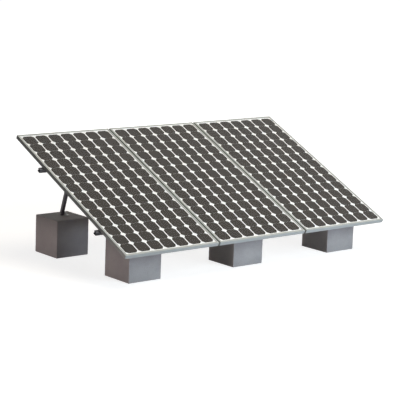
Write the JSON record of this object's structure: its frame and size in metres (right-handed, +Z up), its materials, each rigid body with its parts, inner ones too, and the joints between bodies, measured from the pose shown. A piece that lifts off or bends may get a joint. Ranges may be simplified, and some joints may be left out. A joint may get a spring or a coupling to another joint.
{
  "type": "solar panel mounting rack",
  "caption": "Ballasted ground rack: framed solar modules side by side on two rails, tilted on sloping rafters and rear struts that stand on concrete blocks.",
  "frame": {"origin": "on the ground, in the middle of the rack's outline seen from above", "axes": "+X runs along the row of modules, left to right seen from the front; +Y points back, towards the raised edge; +Z is up"},
  "size_m": [3.14, 1.6808, 1.0826],
  "materials": {
    "concrete": "smooth cast concrete, matt",
    "module_frame": "anodised, satin",
    "front_glass": "clear low-iron glass, smooth",
    "solar_cell": "dark warm grey silicon behind glass",
    "back_sheet": "white film",
    "junction_plastic": "black moulded plastic",
    "rail_profile": "mill-finished extrusion, dulled",
    "rafter_profile": "mill-finished extrusion, dulled",
    "strut_steel": "dark grey, satin",
    "bracket": "zinc-coated, matt",
    "fasteners": "zinc-coated"
  },
  "bodies": {
    "root": {"anchor_bolts": "fasteners", "block_front_centre": "concrete", "block_front_left": "concrete", "block_front_right": "concrete", "block_rear_centre": "concrete", "block_rear_left": "concrete", "block_rear_right": "concrete", "centre_module_back_sheet": "back_sheet", "centre_module_cells": "solar_cell", "centre_module_frame_bottom": "module_frame", "centre_module_frame_left": "module_frame", "centre_module_frame_right": "module_frame", "centre_module_frame_top": "module_frame", "centre_module_glass": "front_glass", "centre_module_junction_box": "junction_plastic", "centre_module_junction_lid": "junction_plastic", "cleat_bolts": "fasteners", "cleat_lower_centre": "bracket", "cleat_lower_left": "bracket", "cleat_lower_right": "bracket", "cleat_upper_centre": "bracket", "cleat_upper_left": "bracket", "cleat_upper_right": "bracket", "front_foot_centre": "bracket", "front_foot_left": "bracket", "front_foot_right": "bracket", "left_module_back_sheet": "back_sheet", "left_module_cells": "solar_cell", "left_module_frame_bottom": "module_frame", "left_module_frame_left": "module_frame", "left_module_frame_right": "module_frame", "left_module_frame_top": "module_frame", "left_module_glass": "front_glass", "left_module_junction_box": "junction_plastic", "left_module_junction_lid": "junction_plastic", "module_bolts": "fasteners", "rafter_centre": "rafter_profile", "rafter_left": "rafter_profile", "rafter_right": "rafter_profile", "rafter_side_bolts": "fasteners", "rail_lower": "rail_profile", "rail_upper": "rail_profile", "rear_foot_bolts": "fasteners", "rear_foot_centre": "bracket", "rear_foot_left": "bracket", "rear_foot_right": "bracket", "right_module_back_sheet": "back_sheet", "right_module_cells": "solar_cell", "right_module_frame_bottom": "module_frame", "right_module_frame_left": "module_frame", "right_module_frame_right": "module_frame", "right_module_frame_top": "module_frame", "right_module_glass": "front_glass", "right_module_junction_box": "junction_plastic", "right_module_junction_lid": "junction_plastic", "strut_centre": "strut_steel", "strut_left": "strut_steel", "strut_right": "strut_steel"}
  },
  "joints": []
}
